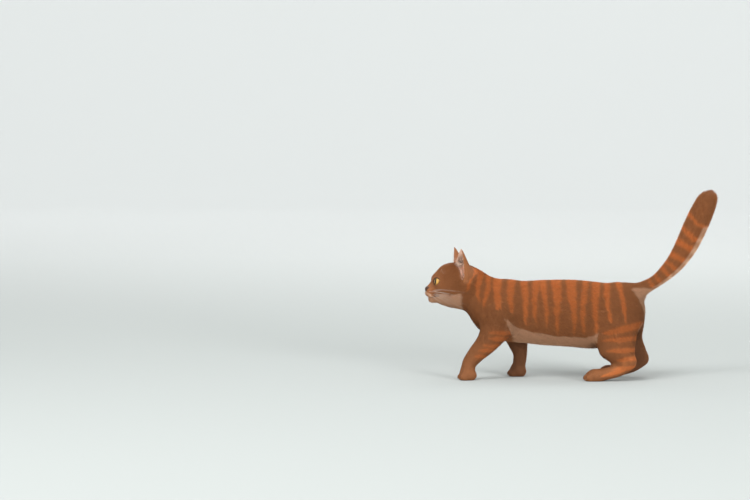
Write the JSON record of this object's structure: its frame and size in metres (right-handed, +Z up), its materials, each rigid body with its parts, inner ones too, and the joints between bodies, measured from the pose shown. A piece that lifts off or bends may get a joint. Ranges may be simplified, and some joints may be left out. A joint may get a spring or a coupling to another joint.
{
  "type": "munchkin cat",
  "caption": "Short-legged brown tabby munchkin cat, life size, walking with its tail raised and its head turned a little to its left.",
  "frame": {"origin": "on the floor, under the middle of the cat's box", "axes": "the cat faces -X and its tail is at +X, its left side is at -Y and its right side at +Y, +Z is up"},
  "size_m": [0.5226, 0.1368, 0.3391],
  "materials": {
    "coat_head": "short dense brown fur",
    "coat_ears": "short dense brown fur",
    "coat_body": "short dense brown fur",
    "coat_legs": "short dense brown fur",
    "coat_paws": "short dense brown fur",
    "coat_tail": "short dense brown fur",
    "eye": "wet amber eyeball",
    "nose_leather": "bare damp skin"
  },
  "bodies": {
    "root": {"head": "coat_head", "ear_left": "coat_ears", "ear_right": "coat_ears", "eye_left": "eye", "eye_right": "eye", "nose": "nose_leather", "neck": "coat_body", "torso": "coat_body", "front_leg_left": "coat_legs", "front_leg_right": "coat_legs", "front_paw_left": "coat_paws", "front_paw_right": "coat_paws", "hind_leg_left": "coat_legs", "hind_leg_right": "coat_legs", "hind_paw_left": "coat_paws", "hind_paw_right": "coat_paws", "tail_base": "coat_tail", "tail_middle": "coat_tail", "tail_tip": "coat_tail"}
  },
  "joints": []
}
